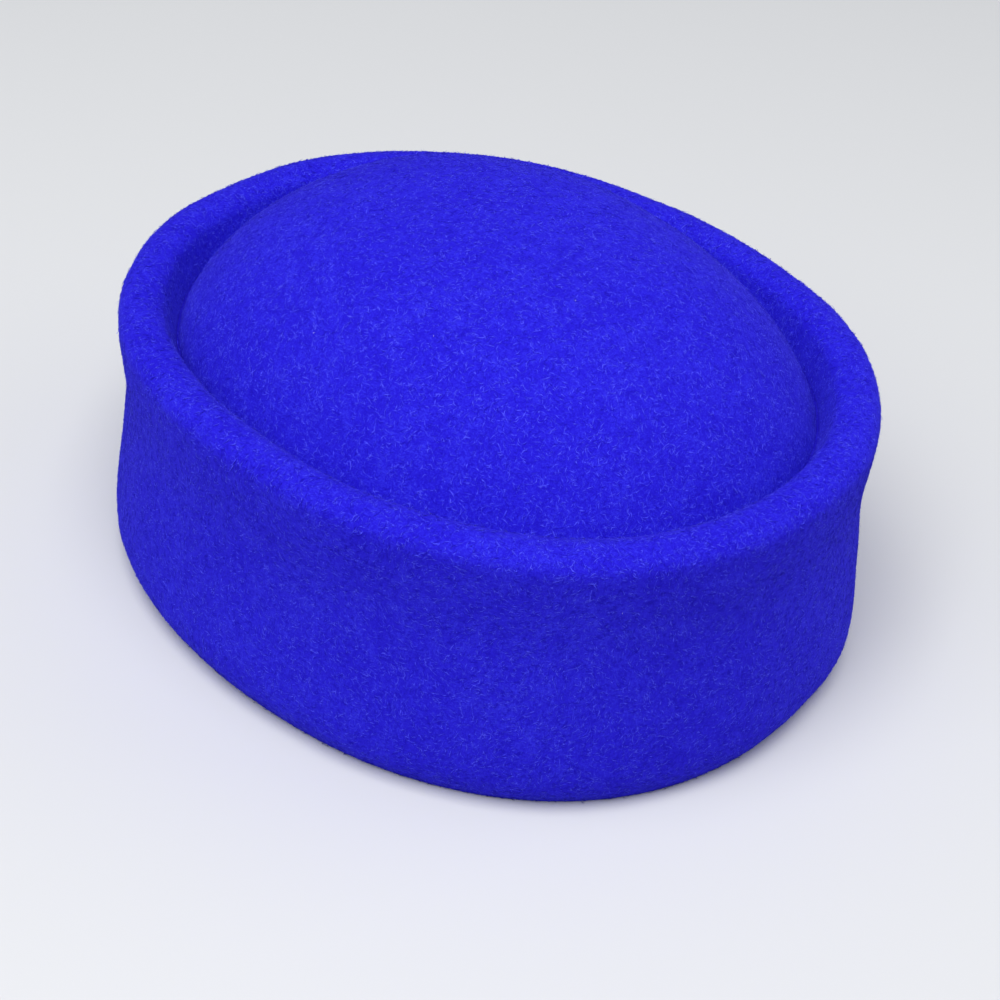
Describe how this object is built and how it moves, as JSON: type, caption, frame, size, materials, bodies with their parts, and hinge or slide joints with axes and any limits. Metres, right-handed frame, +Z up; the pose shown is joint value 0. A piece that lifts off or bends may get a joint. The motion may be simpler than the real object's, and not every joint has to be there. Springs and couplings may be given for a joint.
{
  "type": "pillbox hat",
  "caption": "One-piece blocked felt pillbox hat with a waisted wall, a rolled lip, a gutter and a pillow-shaped crown.",
  "frame": {"origin": "middle of the head opening, on the surface that the hem rests on", "axes": "+Z up through the crown, +Y along the longer diameter towards the back, -Y the front, X from side to side"},
  "size_m": [0.175, 0.205, 0.1025],
  "materials": {
    "felt": "matt wool felt, ultramarine blue, with a short brushed nap"
  },
  "bodies": {
    "root": {"felt_cap": "felt"}
  },
  "joints": []
}
